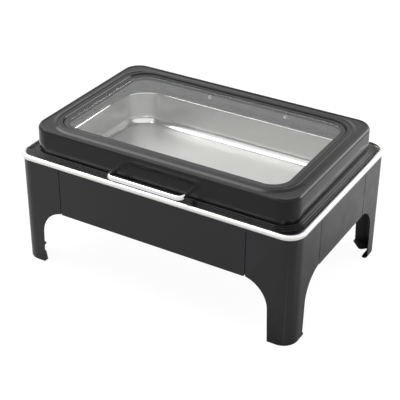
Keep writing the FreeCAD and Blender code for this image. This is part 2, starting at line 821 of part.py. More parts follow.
# Pans and lid
save(water_pan(), "water_pan")
save(food_pan(), "food_pan")
save(lid_shell(), "lid_shell")
save(window_glass(), "window_glass")
save(window_gasket(), "window_gasket")
save(lid_handle(), "lid_handle")

# Handle bolts from inside the lid
handle_bolts = []
inner_face = lid_sheet + fixing_gap - wall_y(handle_level + nut_across_flats / 2)
for side in (-1, 1):
    x = side * handle_bolt_x
    handle_bolts.append(bolt((x, inner_face, handle_level), (0, -1, 0), handle_bolt_length))
save(Part.makeCompound(handle_bolts), "handle_bolts")

# Hinges, each with one bolt into the lid and two into the rear panel
arm_bolts = []
arm_cap_nuts = []
bracket_bolts = []
nuts = panel_nuts()
leaf_back = dome_half_y + fixing_gap + hinge_strap
inner_face = wall_y(hinge_bolt_level + nut_across_flats / 2) - lid_sheet - fixing_gap
for name, x in hinge_places:
    save(moved_along_x(hinge_arm(), x), "hinge_arm_" + name)
    save(moved_along_x(hinge_bracket(), x), "hinge_bracket_" + name)
    save(moved_along_x(hinge_pin(), x), "hinge_pin_" + name)
    arm_bolts.append(bolt((x, leaf_back, hinge_bolt_level), (0, -1, 0), hinge_bolt_length))
    arm_cap_nuts.append(cap_nut((x, inner_face, hinge_bolt_level), (0, -1, 0)))
    for level in bracket_bolt_levels:
        bracket_bolts.append(bolt((x, stand_half_y + hinge_strap, level), (0, -1, 0), bracket_bolt_length))
        nuts.append(nut((x, stand_half_y - stand_sheet, level), (0, -1, 0)))
save(Part.makeCompound(arm_bolts), "arm_bolts")
save(Part.makeCompound(arm_cap_nuts), "arm_cap_nuts")
save(Part.makeCompound(bracket_bolts), "bracket_bolts")
save(Part.makeCompound(nuts), "stand_nuts")
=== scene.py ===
import json
import math

import bmesh
import bpy
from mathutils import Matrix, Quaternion, Vector

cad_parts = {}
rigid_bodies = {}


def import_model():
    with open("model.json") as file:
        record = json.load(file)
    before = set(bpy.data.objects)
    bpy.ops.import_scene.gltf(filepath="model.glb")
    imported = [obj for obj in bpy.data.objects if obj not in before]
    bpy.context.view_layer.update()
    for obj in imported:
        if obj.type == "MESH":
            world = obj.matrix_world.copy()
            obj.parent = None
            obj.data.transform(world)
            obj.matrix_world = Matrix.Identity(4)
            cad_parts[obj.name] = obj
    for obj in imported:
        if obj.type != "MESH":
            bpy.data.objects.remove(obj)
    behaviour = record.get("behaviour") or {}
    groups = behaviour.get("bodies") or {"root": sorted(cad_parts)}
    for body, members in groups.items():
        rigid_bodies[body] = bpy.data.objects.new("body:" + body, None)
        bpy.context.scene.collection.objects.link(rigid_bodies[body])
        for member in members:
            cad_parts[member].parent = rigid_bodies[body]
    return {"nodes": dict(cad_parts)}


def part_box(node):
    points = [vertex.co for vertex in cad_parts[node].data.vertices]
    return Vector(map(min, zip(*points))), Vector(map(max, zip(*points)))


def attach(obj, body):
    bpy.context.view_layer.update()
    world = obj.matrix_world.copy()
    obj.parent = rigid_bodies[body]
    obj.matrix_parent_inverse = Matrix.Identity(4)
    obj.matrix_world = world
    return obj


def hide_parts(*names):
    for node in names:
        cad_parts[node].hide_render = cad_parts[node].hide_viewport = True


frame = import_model()
for spare in [thing for thing in bpy.data.objects if thing.name in ("Cube", "Camera", "Light")]:
    bpy.data.objects.remove(spare)
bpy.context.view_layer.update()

# Camera
# It looks at the dish from the front right and from above, as the photograph does.


def add_object(name, data):
    """A new object in the scene that shows the given data."""
    made = bpy.data.objects.new(name, data)
    bpy.context.scene.collection.objects.link(made)
    return made


look_at = Vector((-0.0093, -0.0047, 0.1049))
camera_way = (30.31, 30.79, 0.475)
camera_distance = 2.0001
turn, rise, roll = (math.radians(angle) for angle in camera_way)
camera = add_object("camera", bpy.data.cameras.new("camera"))
back = Vector((math.sin(turn) * math.cos(rise), -math.cos(turn) * math.cos(rise), math.sin(rise)))
camera.location = look_at + back * camera_distance
facing = (-back).to_track_quat("-Z", "Y")
camera.rotation_euler = (facing @ Quaternion((0, 0, 1), roll)).to_euler()
camera.data.sensor_fit = "HORIZONTAL"
camera.data.sensor_width = 36.0
camera.data.lens = 97.46
camera.data.clip_start = 0.05
bpy.context.scene.camera = camera

# Legs and panels of the stand
# Each is cold-rolled sheet, cut and folded, then coated in satin black. The cut edges stay
# slightly rounded under the coating and rub bright first.
rim_low, rim_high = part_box("water_pan")
middle_y = (rim_low.y + rim_high.y) / 2
sheet_edge = 0.0003
rubbed_gain = 3.2
crease_angle = 38.0
flat_angle = 0.6
weld_distance = 2e-6


def finish(name, metallic=0.0):
    """A new material, its links and its shader."""
    made = bpy.data.materials.new(name)
    made.use_nodes = True
    shader = made.node_tree.nodes["Principled BSDF"]
    shader.inputs["Metallic"].default_value = metallic
    return made, made.node_tree.links, shader


def grain(made, scale, detail=3.0, stretch=(1.0, 1.0, 1.0)):
    """Noise over the piece's own coordinates in metres, drawn out along an axis by stretch."""
    nodes, links = made.node_tree.nodes, made.node_tree.links
    place = nodes.new("ShaderNodeTexCoord")
    mapping = nodes.new("ShaderNodeMapping")
    mapping.inputs["Scale"].default_value = stretch
    noise = nodes.new("ShaderNodeTexNoise")
    noise.inputs["Scale"].default_value = scale
    noise.inputs["Detail"].default_value = detail
    links.new(place.outputs["Object"], mapping.inputs["Vector"])
    links.new(mapping.outputs["Vector"], noise.inputs["Vector"])
    return noise.outputs["Fac"]


def between(made, value, low, high, start=0.3, stop=0.7):
    """A value from start to stop, spread over low to high. The set start and stop suit noise."""
    node = made.node_tree.nodes.new("ShaderNodeMapRange")
    limits = {"From Min": start, "From Max": stop, "To Min": low, "To Max": high}
    for name, number in limits.items():
        node.inputs[name].default_value = number
    made.node_tree.links.new(value, node.inputs["Value"])
    return node.outputs["Result"]


def blend_of(made, value, first, second):
    """Two colours, or a colour and what comes before it, mixed by a value."""
    node = made.node_tree.nodes.new("ShaderNodeMix")
    node.data_type = "RGBA"
    made.node_tree.links.new(value, node.inputs["Factor"])
    for socket, colour in ((node.inputs["A"], first), (node.inputs["B"], second)):
        if isinstance(colour, tuple):
            socket.default_value = (*colour, 1.0)
        else:
            made.node_tree.links.new(colour, socket)
    return node.outputs["Result"]


def clouds(made, scale, detail, dark, light):
    """A colour that drifts between two tones in soft patches."""
    return blend_of(made, between(made, grain(made, scale, detail), 0.0, 1.0), dark, light)


def relief(made, heights):
    """Bumps from pairs of height and depth in metres, one on the other."""
    nodes, links = made.node_tree.nodes, made.node_tree.links
    normal = None
    for height, depth in heights:
        bump = nodes.new("ShaderNodeBump")
        bump.inputs["Distance"].default_value = depth
        links.new(height, bump.inputs["Height"])
        if normal:
            links.new(normal, bump.inputs["Normal"])
        normal = bump.outputs["Normal"]
    links.new(normal, nodes["Principled BSDF"].inputs["Normal"])


def worn_edges(made):
    """How far a point lies on an outer edge, from 0 on flats to 1 on edges."""
    flat_level, edge_level = 0.52, 0.6
    shape = made.node_tree.nodes.new("ShaderNodeNewGeometry")
    return between(made, shape.outputs["Pointiness"], 0.0, 1.0, flat_level, edge_level)


def black_coating(name, dark, light, rough, peel, index):
    """Black coating: cloudy colour, fine orange peel, and edges rubbed a little lighter."""
    made, links, shader = finish(name)
    shader.inputs["IOR"].default_value = index
    rubbed = tuple(rubbed_gain * part for part in light)
    colour = blend_of(made, worn_edges(made), clouds(made, 9.0, 4.0, dark, light), rubbed)
    links.new(colour, shader.inputs["Base Color"])
    gloss = between(made, grain(made, 34.0, 5.0), rough - 0.04, rough + 0.05)
    links.new(gloss, shader.inputs["Roughness"])
    relief(made, [(grain(made, 260.0, 2.0), peel), (grain(made, 2600.0, 1.0), peel * 0.1)])
    return made


def soften(mesh, sharp=crease_angle):
    """Smooth shading with a crease only where faces meet at more than an angle."""
    mesh.shade_smooth()
    mesh.set_sharp_from_angle(angle=math.radians(sharp))


def put_in(name, mesh, body, nodes, material):
    """A finished piece that rides on a body and stands for CAD nodes."""
    mesh.materials.clear()
    mesh.materials.append(material)
    piece = add_object(name, mesh)
    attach(piece, body)
    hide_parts(*nodes)
    return piece


def merged_shape(node):
    """The node's own shape, with its loose triangles joined."""
    shape = bmesh.new()
    shape.from_mesh(frame["nodes"][node].data)
    bmesh.ops.remove_doubles(shape, verts=shape.verts, dist=weld_distance)
    return shape


def mesh_of(shape, name):
    """A worked shape as a plain mesh."""
    mesh = bpy.data.meshes.new(name)
    shape.to_mesh(mesh)
    shape.free()
    return mesh


def take_result(worker, name):
    """The evaluated shape as a plain mesh, with its maker removed."""
    ready = worker.evaluated_get(bpy.context.evaluated_depsgraph_get())
    made = bpy.data.meshes.new_from_object(ready)
    made.name = name
    bpy.data.objects.remove(worker)
    return made


def folded_copy(node, edge):
    """The node's own shape with its sheet edges rounded."""
    shape = merged_shape(node)
    flat = math.radians(flat_angle)
    bmesh.ops.dissolve_limit(shape, angle_limit=flat, verts=shape.verts, edges=shape.edges)
    mesh = mesh_of(shape, node + "_sheet")
    mesh.validate()
    soften(mesh)
    worker = add_object(node + "_work", mesh)
    rounding = worker.modifiers.new("rounding", "BEVEL")
    rounding.width = edge
    rounding.segments = 2
    rounding.limit_method = "ANGLE"
    rounding.angle_limit = math.radians(crease_angle)
    rounding.harden_normals = True
    evening = worker.modifiers.new("evening", "WEIGHTED_NORMAL")
    evening.keep_sharp = True
    return take_result(worker, node + "_rounded")


stand_black = black_coating(
    "stand_black",
    dark=(0.006, 0.006, 0.0068),
    light=(0.009, 0.009, 0.0104),
    rough=0.34,
    peel=0.000012,
    index=1.39,
)
legs = ["leg_" + side + "_" + hand for side in ("front", "rear") for hand in ("left", "right")]
panels = ["panel_" + side for side in ("front", "rear", "left", "right")]
for node in legs + panels:
    folded = folded_copy(node, sheet_edge)
    put_in(node + "_folded", folded, "stand", [node], stand_black)

# Water pan
# It is pressed from one bright stainless sheet. The rim is rolled round into a bead, and the
# collar inside the ledge carries the food pan.
millimetre = 0.001
rim_length, rim_width = 560.0, 378.0
rim_bead = 9.5
pan_sheet = 0.8
stand_top = 208.0
water_depth = 96.0
slit_angle = 42.0
collar_top = 217.2
ledge_top = stand_top + pan_sheet
water_floor = ledge_top - water_depth
bead_level = stand_top + rim_bead / 2
# A rounded rectangle is half its length, half its width and the radius of its corners
collar_rect = (247.2, 154.2, 22.7)
bead_rect = ((rim_length - rim_bead) / 2, (rim_width - rim_bead) / 2, 27.75)


def rounded(points, step=12.0):
    """A way through points (u, z, radius) with its corners rounded, as a list of (u, z)."""
    way = []
    for index, (u, z, radius) in enumerate(points):
        corner = Vector((u, z))
        if radius <= 0 or index in (0, len(points) - 1):
            way.append(corner)
            continue
        back = (Vector(points[index - 1][:2]) - corner).normalized()
        forth = (Vector(points[index + 1][:2]) - corner).normalized()
        half = back.angle(forth) / 2
        centre = corner + (back + forth).normalized() * (radius / math.sin(half))
        arm = corner + back * (radius / math.tan(half)) - centre
        last = corner + forth * (radius / math.tan(half)) - centre
        sweep = math.copysign(math.pi - 2 * half, arm.x * last.y - arm.y * last.x)
        count = max(2, math.ceil(math.degrees(abs(sweep)) / step))
        for part in range(count + 1):
            angle = sweep * part / count
            across = arm.x * math.cos(angle) - arm.y * math.sin(angle)
            along = arm.x * math.sin(angle) + arm.y * math.cos(angle)
            way.append(centre + Vector((across, along)))
    return way


def sheet_sides(points, thickness):
    """Both sides of a sheet: the way through the points, and the side on its right."""
    places = [Vector(point[:2]) for point in points]
    ways = [(b - a).normalized() for a, b in zip(places, places[1:])]
    sides = [Vector((way.y, -way.x)) for way in ways]
    far = [(*(places[0] + sides[0] * thickness), 0)]
    for index in range(1, len(points) - 1):
        before, after = sides[index - 1], sides[index]
        spread = (before + after) * (thickness / (1 + before.dot(after)))
        bent = ways[index - 1].x * ways[index].y - ways[index - 1].y * ways[index].x
        radius = points[index][2]
        if radius > 0:
            radius = radius + thickness if bent > 0 else max(radius - thickness, 0)
        far.append((*(places[index] + spread), radius))
    far.append((*(places[-1] + sides[-1] * thickness), 0))
    return rounded(points), rounded(far)


def loops_round(outline, half_x, half_y, radius):
    """Sizes of the rounded rectangles that an outline (u, z) makes round a first one."""
    return [(half_x + u, half_y + u, radius + u, z) for u, z in outline]


def skin_over(name, rows, closed, covers):
    """A skin over rings of points, each with as many, and flat covers over some of them."""
    shape = bmesh.new()
    rings = [[shape.verts.new(point) for point in row] for row in rows]
    pairs = list(zip(rings, rings[1:]))
    if closed:
        pairs.append((rings[-1], rings[0]))
    for first, second in pairs:
        count = len(first)
        for index in range(count):
            following = (index + 1) % count
            shape.faces.new((first[index], first[following], second[following], second[index]))
    for index in covers:
        shape.faces.new(rings[index])
    bmesh.ops.recalc_face_normals(shape, faces=shape.faces)
    return mesh_of(shape, name)


def ring_mesh(name, loops, closed=True, covers=(), per_corner=20, sharp=crease_angle):
    """A skin over rounded rectangles about the dish's middle."""
    rows = []
    quarters = ((1, 1, 0), (-1, 1, 90), (-1, -1, 180), (1, -1, 270))
    for half_x, half_y, radius, z in loops:
        row = []
        for sign_x, sign_y, start in quarters:
            for index in range(per_corner + 1):
                angle = math.radians(start + 90 * index / per_corner)
                x = sign_x * (half_x - radius) + radius * math.cos(angle)
                y = sign_y * (half_y - radius) + radius * math.sin(angle)
                row.append((x * millimetre, y * millimetre + middle_y, z * millimetre))
        rows.append(row)
    mesh = skin_over(name, rows, closed, covers)
    soften(mesh, sharp)
    return mesh


def bright_steel_finish():
    """Bright stainless sheet: faint rolling grain along X, slight waves, light scuffs."""
    made, links, shader = finish("bright_steel_rolled", metallic=1.0)
    colour = clouds(made, 16.0, 3.0, (0.80, 0.785, 0.765), (0.87, 0.86, 0.84))
    links.new(colour, shader.inputs["Base Color"])
    scuffs = between(made, grain(made, 240.0, 4.0, (0.15, 1.0, 1.0)), 0.33, 0.41)
    links.new(scuffs, shader.inputs["Roughness"])
    rolling = grain(made, 900.0, 2.0, (0.06, 1.0, 1.0))
    waves = grain(made, 22.0, 1.0)
    relief(made, [(rolling, 0.000006), (waves, 0.00005)])
    return made


def bead_side(radius):
    """The bead's side from the ledge round to its slit, as (u, z) with u from its middle."""
    steps = 40
    side = []
    for index in range(steps + 1):
        angle = math.radians(-90 + (360 - slit_angle) * index / steps)
        side.append((radius * math.cos(angle), bead_level + radius * math.sin(angle)))
    return side


inner, outer = sheet_sides(
    [
        (-20.9, water_floor, 0),
        (-8.9, water_floor, 10),
        (-2.4, collar_top, 0.8),
        (0, collar_top, 0.8),
        (0, ledge_top, 0),
    ],
    pan_sheet,
)
outer[-1] = Vector((-pan_sheet, stand_top))
inner_loops = loops_round(inner, *collar_rect)
inner_loops += loops_round(bead_side(rim_bead / 2 - pan_sheet), *bead_rect)
outer_loops = loops_round(outer, *collar_rect)
outer_loops += loops_round(bead_side(rim_bead / 2), *bead_rect)
water_loops = inner_loops + outer_loops[::-1]
water_mesh = ring_mesh("water_pan_pressing", water_loops, closed=False, covers=(0, -1))
bright_steel = bright_steel_finish()
put_in("water_pan_pressing", water_mesh, "stand", ["water_pan"], bright_steel)

# Food pan
# A deep-drawn pan of satin stainless steel with a flat rim that hangs on the collar. The
# drawing leaves upright streaks in its walls, and the die burnishes the corners it bends.
food_rect = (243.4, 150.4, 58.0)
food_rim_rect = (248.5, 155.5, 24.0)
food_rim_top = 218.0
food_depth = 65.0
food_floor = food_rim_top - food_depth
mouth_end = food_rim_top - 0.35


def satin_steel_finish():
    """Satin stainless steel: even grain, soft clouds and the streaks of deep drawing, with the
    walls painted darker as painted shade and the rim painted lighter as a painted highlight.
    """
    made, links, shader = finish("satin_steel_with_painted_light", metallic=1.0)
    nodes = made.node_tree.nodes
    place = nodes.new("ShaderNodeTexCoord")
    height = nodes.new("ShaderNodeSeparateXYZ")
    links.new(place.outputs["Object"], height.inputs["Vector"])
    # How far a point has come up past the floor's corner, the wall's foot and the rim's edge
    corner, wall, rim = (
        between(made, height.outputs["Z"], 0.0, 1.0, start, stop)
        for start, stop in ((0.1534, 0.156), (0.164, 0.172), (0.2148, 0.2160))
    )
    rough = between(made, grain(made, 60.0, 5.0, (1.0, 1.0, 0.2)), 0.46, 0.53)
    for reached, burnished in ((corner, 0.16), (wall, 0.27), (rim, 0.07)):
        burnish = nodes.new("ShaderNodeMix")
        burnish.inputs["B"].default_value = burnished
        links.new(reached, burnish.inputs["Factor"])
        links.new(rough, burnish.inputs["A"])
        rough = burnish.outputs["Result"]
    links.new(rough, shader.inputs["Roughness"])
    colour = clouds(made, 11.0, 4.0, (0.76, 0.757, 0.735), (0.82, 0.817, 0.795))
    # The walls are painted much darker as painted shade, and the rim lighter as a painted highlight
    # line
    for reached, painted_light_tone in ((wall, (0.42, 0.418, 0.406)), (rim, (0.95, 0.947, 0.935))):
        colour = blend_of(made, reached, colour, painted_light_tone)
    links.new(colour, shader.inputs["Base Color"])
    brushing = grain(made, 1500.0, 2.0, (0.3, 1.0, 0.3))
    streaks = grain(made, 14.0, 1.0, (1.0, 1.0, 0.1))
    relief(made, [(brushing, 0.000002), (streaks, 0.0002)])
    return made


inner, outer = sheet_sides(
    [(-25, food_floor, 0), (-5, food_floor, 18), (0, food_rim_top, 3.3), (3.6, mouth_end, 0)],
    pan_sheet,
)
lip_inner, lip_outer = sheet_sides(
    [
        (-1.2, mouth_end, 0),
        (-0.8, food_rim_top, 0.4),
        (0, food_rim_top, 0.8),
        (0, food_rim_top - 3, 0),
    ],
    pan_sheet,
)
inner_loops = loops_round(inner, *food_rect) + loops_round(lip_inner, *food_rim_rect)
outer_loops = loops_round(outer, *food_rect) + loops_round(lip_outer, *food_rim_rect)
food_loops = inner_loops + outer_loops[::-1]
food_mesh = ring_mesh("food_pan_drawn", food_loops, closed=False, covers=(0, -1))
satin_steel = satin_steel_finish()
put_in("food_pan_drawn", food_mesh, "food_pan", ["food_pan"], satin_steel)

# Lid shell
# One pressing of steel sheet: a turned-down lip, a flange with two low ribs, the dome, and a
# raised ridge round the window seat. It is coated black, a little glossier than the stand.
lid_sheet = 1.0
dome_rect = (258.0, 165.0, 34.0)
window_rect = (222.0, 132.5, 38.0)
edge_rect = (269.2, 178.2, 22.0)
lip_bottom = 209.1
flange_top = 212.8
dome_base = flange_top + 4.0
lid_top = 264.3
seat_top = 261.5
ridge_top = lid_top + 1.4
hollow_level = lid_top - 0.7
window_side = sheet_sides(
    [
        (0, seat_top, 0),
        (4.6, seat_top, 0.6),
        (6.2, lid_top + 0.7, 0.8),
        (10.4, lid_top + 0.9, 1.2),
        (12.6, lid_top + 0.3, 1.2),
        (15.2, ridge_top, 1.2),
        (17.6, ridge_top, 2.0),
        (23.0, hollow_level, 3.0),
        (25.5, hollow_level, 0),
    ],
    lid_sheet,
)
dome_side = sheet_sides(
    [
        (-7.6, hollow_level, 0),
        (-6.6, hollow_level + 0.1, 2),
        (-3.6, lid_top, 0.4),
        (-0.8, lid_top, 6),
        (0, dome_base, 1.5),
        (4.3, dome_base, 0.9),
        (4.6, dome_base - 2, 0.7),
        (8.6, dome_base - 2, 0.9),
        (8.9, flange_top, 0.7),
        (10.9, flange_top, 0),
    ],
    lid_sheet,
)
edge_side = sheet_sides([(-3, flange_top, 0), (0, flange_top, 1.0), (0, lip_bottom, 0)], lid_sheet)
lid_loops = []
for which in (0, 1):
    loops = loops_round(window_side[which], *window_rect)
    loops += loops_round(dome_side[which], *dome_rect)
    loops += loops_round(edge_side[which], *edge_rect)
    lid_loops.append(loops)
lid_mesh = ring_mesh("lid_pressing", lid_loops[0] + lid_loops[1][::-1], per_corner=24)
lid_black = black_coating(
    "lid_black",
    dark=(0.0055, 0.0055, 0.0064),
    light=(0.0085, 0.0085, 0.0098),
    rough=0.2,
    peel=0.000004,
    index=1.36,
)
put_in("lid_pressing", lid_mesh, "lid", ["lid_shell"], lid_black)

# Window
# A pane of toughened glass in a black rubber strip that grips the pane inside and the edge of
# the lid outside.


def rubber_finish():
    """Black rubber: matt, finely pitted, with a little bloom."""
    made, links, shader = finish("rubber_strip")
    bloom = clouds(made, 26.0, 4.0, (0.007, 0.007, 0.0075), (0.014, 0.014, 0.0145))
    links.new(bloom, shader.inputs["Base Color"])
    links.new(between(made, grain(made, 70.0, 4.0), 0.5, 0.66), shader.inputs["Roughness"])
    relief(made, [(grain(made, 1800.0, 2.0), 0.00003)])
    return made


def glass_finish():
    """A clear pane that mirrors more the flatter it is seen, with faint smears."""
    made, links, shader = finish("pane_glass", metallic=1.0)
    nodes = made.node_tree.nodes
    head_on, flat_on = 0.065, 1.0
    shader.inputs["Base Color"].default_value = (0.97, 0.985, 0.98, 1.0)
    links.new(between(made, grain(made, 8.0, 2.0), 0.012, 0.03), shader.inputs["Roughness"])
    slope = nodes.new("ShaderNodeLayerWeight")
    slope.inputs["Blend"].default_value = 0.5
    power = nodes.new("ShaderNodeMath")
    power.operation = "POWER"
    power.inputs[1].default_value = 5.0
    links.new(slope.outputs["Facing"], power.inputs[0])
    mirrored = between(made, power.outputs["Value"], head_on, flat_on, 0.0, 1.0)
    links.new(mirrored, shader.inputs["Alpha"])
    return made


gasket_outline = [
    (-4.6, 262.85, 0.0),
    (-4.2, 263.9, 0.5),
    (3.2, 262.75, 0.5),
    (4.0, 261.6, 0.2),
    (-0.1, 261.6, 0.0),
    (-0.1, 260.4, 0.0),
    (4.0, 260.4, 0.2),
    (3.3, 259.25, 0.5),
    (-4.2, 258.0, 0.5),
    (-4.6, 259.15, 0.0),
    (-2.4, 259.15, 0.0),
    (-2.4, 262.85, 0.0),
]
gasket_loops = loops_round(rounded(gasket_outline, 30.0), *window_rect)
gasket_mesh = ring_mesh("window_strip", gasket_loops, per_corner=24)
rubber = rubber_finish()
put_in("window_strip", gasket_mesh, "lid", ["window_gasket"], rubber)
pane_edge = 0.4
pane_high = 262.75
pane_low = 259.25
pane_reach = -2.6
pane_outline = [
    (pane_reach - pane_edge, pane_high),
    (pane_reach, pane_high - pane_edge),
    (pane_reach, pane_low + pane_edge),
    (pane_reach - pane_edge, pane_low),
]
pane_loops = loops_round(pane_outline, *window_rect)
pane_mesh = ring_mesh("pane", pane_loops, closed=False, covers=(0, -1), sharp=20.0)
put_in("pane", pane_mesh, "lid", ["window_glass"], glass_finish())

# Handle
# A chromed steel bar bent to a U and bolted from inside the lid.


def chrome_finish():
    """Chrome plate: bright and even, with faint smears and pin scratches."""
    made, links, shader = finish("chrome_plate", metallic=1.0)
    smears = clouds(made, 40.0, 3.0, (0.84, 0.845, 0.87), (0.90, 0.905, 0.92))
    links.new(smears, shader.inputs["Base Color"])
    links.new(between(made, grain(made, 55.0, 4.0), 0.09, 0.15), shader.inputs["Roughness"])
    relief(made, [(grain(made, 1400.0, 2.0, (0.05, 1.0, 1.0)), 0.000002)])
    return made


def node_tree(name, inputs):
    """A geometry tree with named inputs, and its first and last nodes."""
    tree = bpy.data.node_groups.new(name, "GeometryNodeTree")
    tree.interface.new_socket("Geometry", in_out="INPUT", socket_type="NodeSocketGeometry")
    for label, kind in inputs:
        tree.interface.new_socket(label, in_out="INPUT", socket_type="NodeSocket" + kind)
    tree.interface.new_socket("Geometry", in_out="OUTPUT", socket_type="NodeSocketGeometry")
    return tree, tree.nodes.new("NodeGroupInput"), tree.nodes.new("NodeGroupOutput")


def chain(tree, *pairs):
    """Link sockets in pairs."""
    for source, target in pairs:
        tree.links.new(source, target)


def grow(name, mesh, tree, values):
    """Run a geometry tree on a mesh with values for its named inputs, and keep the result."""
    worker = add_object(name + "_work", mesh)
    modifier = worker.modifiers.new(name, "NODES")
    modifier.node_group = tree
    for item in tree.interface.items_tree:
        if item.item_type == "SOCKET" and item.in_out == "INPUT" and item.name in values:
            modifier[item.identifier] = values[item.name]
    worker.update_tag()
    return take_result(worker, name)


def bar_tree():
    """A bar of rounded rectangular section along a way with rounded bends."""
    sizes = [(label, "Float") for label in ("Bend", "Width", "Height", "Edge")]
    tree, start, stop = node_tree("bent_bar", sizes + [("Finish", "Material")])
    add = tree.nodes.new
    curve = add("GeometryNodeMeshToCurve")
    bends = add("GeometryNodeFilletCurve")
    upright = add("GeometryNodeSetCurveNormal")
    section = add("GeometryNodeCurvePrimitiveQuadrilateral")
    edges = add("GeometryNodeFilletCurve")
    skin = add("GeometryNodeCurveToMesh")
    smooth = add("GeometryNodeSetShadeSmooth")
    whole = add("GeometryNodeRealizeInstances")
    paint = add("GeometryNodeSetMaterial")
    for node, count in ((bends, 14), (edges, 4)):
        node.mode = "POLY"
        node.inputs["Count"].default_value = count
        node.inputs["Limit Radius"].default_value = True
    upright.mode = "Z_UP"
    skin.inputs["Fill Caps"].default_value = True
    chain(
        tree,
        (start.outputs["Geometry"], curve.inputs["Mesh"]),
        (curve.outputs["Curve"], bends.inputs["Curve"]),
        (start.outputs["Bend"], bends.inputs["Radius"]),
        (bends.outputs["Curve"], upright.inputs["Curve"]),
        (upright.outputs["Curve"], skin.inputs["Curve"]),
        (start.outputs["Width"], section.inputs["Width"]),
        (start.outputs["Height"], section.inputs["Height"]),
        (section.outputs["Curve"], edges.inputs["Curve"]),
        (start.outputs["Edge"], edges.inputs["Radius"]),
        (edges.outputs["Curve"], skin.inputs["Profile Curve"]),
        (skin.outputs["Mesh"], smooth.inputs["Geometry"]),
        (smooth.outputs["Geometry"], whole.inputs["Geometry"]),
        (whole.outputs["Geometry"], paint.inputs["Geometry"]),
        (start.outputs["Finish"], paint.inputs["Material"]),
        (paint.outputs["Geometry"], stop.inputs["Geometry"]),
    )
    return tree


chrome = chrome_finish()
handle_low, handle_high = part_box("lid_handle")
handle_bar = (0.0065, 0.0085)
handle_level = (handle_low.z + handle_high.z) / 2
handle_side = handle_high.x - handle_bar[0] / 2
handle_front = handle_low.y + handle_bar[0] / 2
handle_way = bpy.data.meshes.new("handle_way")
handle_points = [
    (-handle_side, handle_high.y, handle_level),
    (-handle_side, handle_front, handle_level),
    (handle_side, handle_front, handle_level),
    (handle_side, handle_high.y, handle_level),
]
handle_way.from_pydata(handle_points, [(0, 1), (1, 2), (2, 3)], [])
handle_values = {
    "Bend": 0.011,
    "Width": handle_bar[0],
    "Height": handle_bar[1],
    "Edge": 0.0028,
    "Finish": chrome,
}
bar_shape = bmesh.new()
bar_shape.from_mesh(grow("handle_way_result", handle_way, bar_tree(), handle_values))
bmesh.ops.recalc_face_normals(bar_shape, faces=bar_shape.faces)
handle_mesh = mesh_of(bar_shape, "handle_bar")
soften(handle_mesh, 50.0)
put_in("handle_bar", handle_mesh, "lid", ["lid_handle"], chrome)

# Hinges
# Each has a strap bolted to the lid and rolled round a pin, and a bracket bolted to the rear
# panel, both of stainless steel.


def hinge_steel_finish(name, dark, light, rough):
    """Brushed or plated steel with a fine grain and a few dull spots."""
    made, links, shader = finish(name, metallic=1.0)
    links.new(clouds(made, 120.0, 4.0, dark, light), shader.inputs["Base Color"])
    brushing = grain(made, 300.0, 4.0, (1.0, 1.0, 0.1))
    links.new(between(made, brushing, rough - 0.06, rough + 0.08), shader.inputs["Roughness"])
    relief(made, [(grain(made, 2200.0, 2.0, (1.0, 1.0, 0.05)), 0.000008)])
    return made


strap_edge = 0.00035
pin_edge = 0.0004
hinge_steel = hinge_steel_finish(
    "hinge_steel_brushed", dark=(0.50, 0.495, 0.485), light=(0.60, 0.595, 0.585), rough=0.32
)
zinc = hinge_steel_finish(
    "zinc_plate", dark=(0.48, 0.50, 0.53), light=(0.62, 0.63, 0.64), rough=0.36
)
for hand in ("left", "right"):
    for node, body in (("hinge_arm_" + hand, "lid"), ("hinge_bracket_" + hand, "stand")):
        pressed = folded_copy(node, strap_edge)
        put_in(node + "_pressed", pressed, body, [node], hinge_steel)
    pin = "hinge_pin_" + hand
    put_in(pin + "_turned", folded_copy(pin, pin_edge), "stand", [pin], zinc)

# Bolts and nuts
# Zinc-plated 5 mm bolts and plain nuts hold the stand, the brackets, the straps and the handle.
# The two cap nuts inside the lid are chromed and a little duller than the handle.
hex_across = 8.0
end_radius = 3.75
thread_radius = 2.5
thread_depth = 0.35
thread_pitch = 0.8
thread_start = 0.6
thread_step = 0.1
core_radius = 2.3
head_height = 3.5
bore_radius = 2.52
mouth_radius = 2.95
mouth_depth = 0.4


def hex_side(across, limit):
    """Distance from the axis to a hexagon's side at an angle, cut by the cone of its chamfer."""
    sixth = math.radians(60)
    return lambda angle: min(limit, across / 2 / math.cos(angle % sixth - sixth / 2))


def thread_side(level):
    """Distance from the axis to a screw thread at an angle and a level."""

    def side(angle):
        phase = (level / thread_pitch - angle / math.tau) % 1.0
        return thread_radius - thread_depth * (1.0 - abs(2.0 * phase - 1.0))

    return side


def chamfered_hex(low, high):
    """Rings of a hexagon with both ends chamfered, from one end to the other."""
    fall, spread = 0.15, 0.26
    cuts = [(step * fall, end_radius + step * spread) for step in range(4)]
    rings = [(low + depth, hex_side(hex_across, limit)) for depth, limit in cuts]
    rings += [(high - depth, hex_side(hex_across, limit)) for depth, limit in reversed(cuts)]
    return rings


def turned_piece(name, rings, hollow=False):
    """A closed skin over rings along Z, each a level and its distance from the axis by angle."""
    around = 48
    rows = []
    for level, side in rings:
        row = []
        for index in range(around):
            angle = math.tau * index / around
            reach = side(angle) * millimetre
            row.append((reach * math.cos(angle), reach * math.sin(angle), level * millimetre))
        rows.append(row)
    return skin_over(name, rows, closed=hollow, covers=() if hollow else (0, -1))


def circle(radius):
    """The same distance from the axis at every angle."""
    return lambda angle: radius


def bolt_piece(length):
    """A hexagonal bolt whose head ends at level 0 and whose threaded shank runs up Z."""
    plain_length, neck_length, tip_length = 1.2, 0.4, 0.5
    tip_radius, tip_end_radius = 2.15, 1.7
    dish_depth, dish_radius, dish_mouth_radius = 0.25, 1.6, 2.4
    rings = [(-head_height + dish_depth, circle(dish_radius))]
    rings += [(-head_height, circle(dish_mouth_radius))] + chamfered_hex(-head_height, 0.0)
    rings += [(0.0, circle(core_radius)), (neck_length, circle(core_radius))]
    steps = int((length - plain_length) / thread_step)
    levels = [thread_start + index * thread_step for index in range(steps)]
    rings += [(level, thread_side(level)) for level in levels]
    rings += [(length - tip_length, circle(tip_radius)), (length, circle(tip_end_radius))]
    return turned_piece("bolt", rings)


